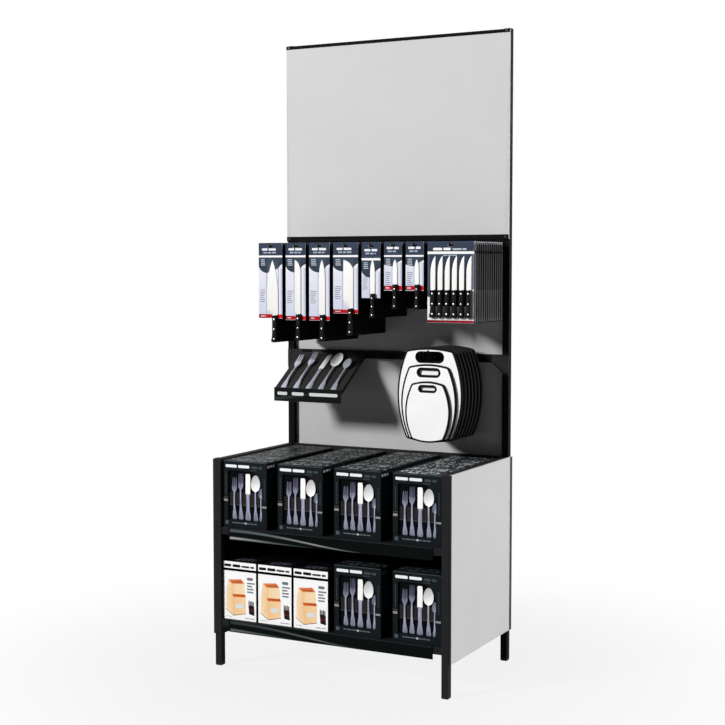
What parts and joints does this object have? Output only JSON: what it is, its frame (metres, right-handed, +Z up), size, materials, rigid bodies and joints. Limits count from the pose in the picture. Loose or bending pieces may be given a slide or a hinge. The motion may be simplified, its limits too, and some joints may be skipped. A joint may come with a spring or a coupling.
{
  "type": "retail display rack",
  "caption": "Free-standing tube-frame display rack with a two-shelf base, a back wall of hooks, a sample tray and a header panel, stocked with hanging and boxed kitchen goods.",
  "frame": {"origin": "middle of the rack's footprint, on the floor", "axes": "+X to the right of a shopper who faces the rack, +Y to its back, +Z up"},
  "size_m": [0.929, 0.549, 2.272],
  "materials": {
    "frame_steel": "black powder coat, fine satin",
    "sheet_steel": "black powder coat on folded sheet",
    "black_plastic": "moulded, slightly matt",
    "black_fasteners": "black zinc",
    "header_board": "pale grey sheet, satin",
    "back_board": "pale grey sheet, satin",
    "base_back_board": "dark sheet, satin",
    "side_laminate": "pale grey laminate, satin",
    "trim_plastic": "extruded edge trim",
    "sign_gloss": "gloss black strip with a soft grey sweep",
    "hook_wire": "black dipped wire and plate",
    "flatware_steel": "polished and satin stainless steel",
    "knife_packs": "printed card, steel blade, black handle",
    "cutting_boards": "white board with a black soft rim",
    "flatware_cartons": "printed black carton with a window",
    "block_cartons": "printed white carton with a dark top"
  },
  "bodies": {
    "rack": {"left_upright": "frame_steel", "right_upright": "frame_steel", "left_front_leg": "frame_steel", "right_front_leg": "frame_steel", "top_crossbar": "frame_steel", "header_crossbar": "frame_steel", "hook_rail": "frame_steel", "middle_crossbar": "frame_steel", "base_crossbars": "frame_steel", "side_rails": "frame_steel", "corner_gussets": "frame_steel", "header_top_channel": "sheet_steel", "header_bottom_channel": "sheet_steel", "top_shelf": "sheet_steel", "bottom_shelf": "sheet_steel", "sample_tray": "sheet_steel", "tray_brackets": "sheet_steel", "tube_end_caps": "black_plastic", "foot_glides": "black_plastic", "frame_bolts": "black_fasteners", "panel_screws": "black_fasteners", "header_panel": "header_board", "upper_back_panel": "back_board", "lower_back_panel": "back_board", "base_back_panel": "base_back_board", "left_side_panel": "side_laminate", "right_side_panel": "side_laminate", "side_panel_trims": "trim_plastic", "top_shelf_sign": "sign_gloss", "bottom_shelf_sign": "sign_gloss", "knife_hooks": "hook_wire", "board_hook": "hook_wire", "knife_pack_stock": "knife_packs", "board_set_stock": "cutting_boards", "flatware_box_stock": "flatware_cartons", "knife_block_box_stock": "block_cartons"},
    "salad_fork": {"salad_fork_sample": "flatware_steel"},
    "dinner_fork": {"dinner_fork_sample": "flatware_steel"},
    "table_knife": {"table_knife_sample": "flatware_steel"},
    "table_spoon": {"table_spoon_sample": "flatware_steel"},
    "tea_spoon": {"tea_spoon_sample": "flatware_steel"},
    "chef_knife": {"chef_knife_pack": "knife_packs"},
    "slicing_knife": {"slicing_knife_pack": "knife_packs"},
    "carving_knife": {"carving_knife_pack": "knife_packs"},
    "santoku_knife": {"santoku_knife_pack": "knife_packs"},
    "utility_knife": {"utility_knife_pack": "knife_packs"},
    "paring_knife": {"paring_knife_pack": "knife_packs"},
    "peeling_knife": {"peeling_knife_pack": "knife_packs"},
    "steak_knife": {"steak_knife_pack": "knife_packs"},
    "board_set": {"front_board_set": "cutting_boards"},
    "top_flatware_box_1": {"top_flatware_box_1": "flatware_cartons"},
    "top_flatware_box_2": {"top_flatware_box_2": "flatware_cartons"},
    "top_flatware_box_3": {"top_flatware_box_3": "flatware_cartons"},
    "top_flatware_box_4": {"top_flatware_box_4": "flatware_cartons"},
    "bottom_flatware_box_1": {"bottom_flatware_box_1": "flatware_cartons"},
    "bottom_flatware_box_2": {"bottom_flatware_box_2": "flatware_cartons"},
    "knife_block_box_1": {"knife_block_box_1": "block_cartons"},
    "knife_block_box_2": {"knife_block_box_2": "block_cartons"},
    "knife_block_box_3": {"knife_block_box_3": "block_cartons"}
  },
  "joints": [
    {"name": "salad_fork_lift", "type": "slide", "parent": "rack", "child": "salad_fork", "axis": [0, -0.5527, 0.8334], "range_m": [0, 0.04]},
    {"name": "dinner_fork_lift", "type": "slide", "parent": "rack", "child": "dinner_fork", "axis": [0, -0.5527, 0.8334], "range_m": [0, 0.04]},
    {"name": "table_knife_lift", "type": "slide", "parent": "rack", "child": "table_knife", "axis": [0, -0.5527, 0.8334], "range_m": [0, 0.04]},
    {"name": "table_spoon_lift", "type": "slide", "parent": "rack", "child": "table_spoon", "axis": [0, -0.5527, 0.8334], "range_m": [0, 0.04]},
    {"name": "tea_spoon_lift", "type": "slide", "parent": "rack", "child": "tea_spoon", "axis": [0, -0.5527, 0.8334], "range_m": [0, 0.04]},
    {"name": "chef_knife_off_hook", "type": "slide", "parent": "rack", "child": "chef_knife", "axis": [0, -0.866, 0.5], "range_m": [0, 0.08]},
    {"name": "slicing_knife_off_hook", "type": "slide", "parent": "rack", "child": "slicing_knife", "axis": [0, -0.866, 0.5], "range_m": [0, 0.08]},
    {"name": "carving_knife_off_hook", "type": "slide", "parent": "rack", "child": "carving_knife", "axis": [0, -0.866, 0.5], "range_m": [0, 0.08]},
    {"name": "santoku_knife_off_hook", "type": "slide", "parent": "rack", "child": "santoku_knife", "axis": [0, -0.866, 0.5], "range_m": [0, 0.08]},
    {"name": "utility_knife_off_hook", "type": "slide", "parent": "rack", "child": "utility_knife", "axis": [0, -0.866, 0.5], "range_m": [0, 0.08]},
    {"name": "paring_knife_off_hook", "type": "slide", "parent": "rack", "child": "paring_knife", "axis": [0, -0.866, 0.5], "range_m": [0, 0.08]},
    {"name": "peeling_knife_off_hook", "type": "slide", "parent": "rack", "child": "peeling_knife", "axis": [0, -0.866, 0.5], "range_m": [0, 0.08]},
    {"name": "steak_knife_off_hook", "type": "slide", "parent": "rack", "child": "steak_knife", "axis": [0, -0.866, 0.5], "range_m": [0, 0.08]},
    {"name": "board_set_off_hook", "type": "slide", "parent": "rack", "child": "board_set", "axis": [0, -0.866, 0.5], "range_m": [0, 0.08]},
    {"name": "top_flatware_box_1_out", "type": "slide", "parent": "rack", "child": "top_flatware_box_1", "axis": [0, -1, 0], "range_m": [0, 0.1]},
    {"name": "top_flatware_box_2_out", "type": "slide", "parent": "rack", "child": "top_flatware_box_2", "axis": [0, -1, 0], "range_m": [0, 0.1]},
    {"name": "top_flatware_box_3_out", "type": "slide", "parent": "rack", "child": "top_flatware_box_3", "axis": [0, -1, 0], "range_m": [0, 0.1]},
    {"name": "top_flatware_box_4_out", "type": "slide", "parent": "rack", "child": "top_flatware_box_4", "axis": [0, -1, 0], "range_m": [0, 0.1]},
    {"name": "bottom_flatware_box_1_out", "type": "slide", "parent": "rack", "child": "bottom_flatware_box_1", "axis": [0, -1, 0], "range_m": [0, 0.1]},
    {"name": "bottom_flatware_box_2_out", "type": "slide", "parent": "rack", "child": "bottom_flatware_box_2", "axis": [0, -1, 0], "range_m": [0, 0.1]},
    {"name": "knife_block_box_1_out", "type": "slide", "parent": "rack", "child": "knife_block_box_1", "axis": [0, -1, 0], "range_m": [0, 0.1]},
    {"name": "knife_block_box_2_out", "type": "slide", "parent": "rack", "child": "knife_block_box_2", "axis": [0, -1, 0], "range_m": [0, 0.1]},
    {"name": "knife_block_box_3_out", "type": "slide", "parent": "rack", "child": "knife_block_box_3", "axis": [0, -1, 0], "range_m": [0, 0.1]}
  ]
}
